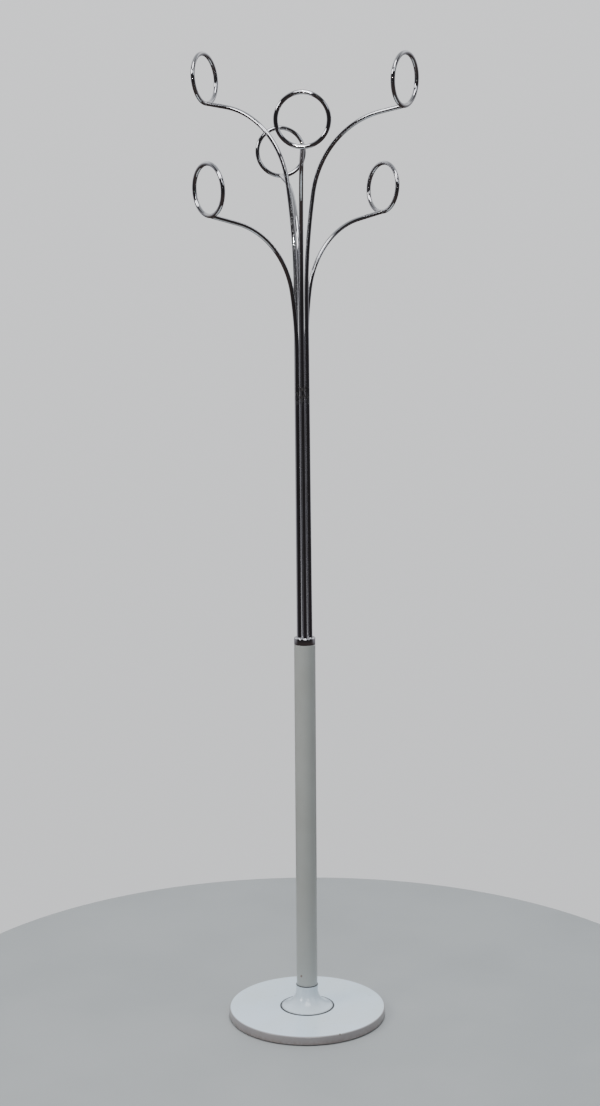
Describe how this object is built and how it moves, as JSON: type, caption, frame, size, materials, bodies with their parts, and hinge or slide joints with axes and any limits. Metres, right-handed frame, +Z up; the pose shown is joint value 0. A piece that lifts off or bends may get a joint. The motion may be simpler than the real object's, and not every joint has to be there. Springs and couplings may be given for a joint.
{
  "type": "standing coat rack",
  "caption": "Free-standing coat rack: round weighted foot, slim tube column and a spray of bent chrome rods that each end in an upright hanging ring.",
  "frame": {"origin": "centre of the foot on the floor", "axes": "+Z up along the column, -Y towards the front arm"},
  "size_m": [0.4086, 0.4561, 1.8225],
  "materials": {
    "felt": "pressed felt",
    "weight": "raw cast",
    "white_lacquer": "semi-gloss lacquer",
    "collar_lacquer": "gloss lacquer",
    "zinc_steel": "zinc plated",
    "spring_steel": "blackened",
    "chrome": "polished"
  },
  "bodies": {
    "root": {"floor_felt": "felt", "base_weight": "weight", "base_cover": "white_lacquer", "foot_collar": "collar_lacquer", "column_tube": "white_lacquer", "tie_rod": "zinc_steel", "base_washer": "zinc_steel", "spring_washer": "spring_steel", "base_nut": "zinc_steel", "rod_head": "chrome", "rod_spacer": "zinc_steel", "arm_front": "chrome", "arm_front_right": "chrome", "arm_back_right": "chrome", "arm_back": "chrome", "arm_back_left": "chrome", "arm_front_left": "chrome", "ring_front": "chrome", "ring_front_right": "chrome", "ring_back_right": "chrome", "ring_back": "chrome", "ring_back_left": "chrome", "ring_front_left": "chrome"}
  },
  "joints": []
}
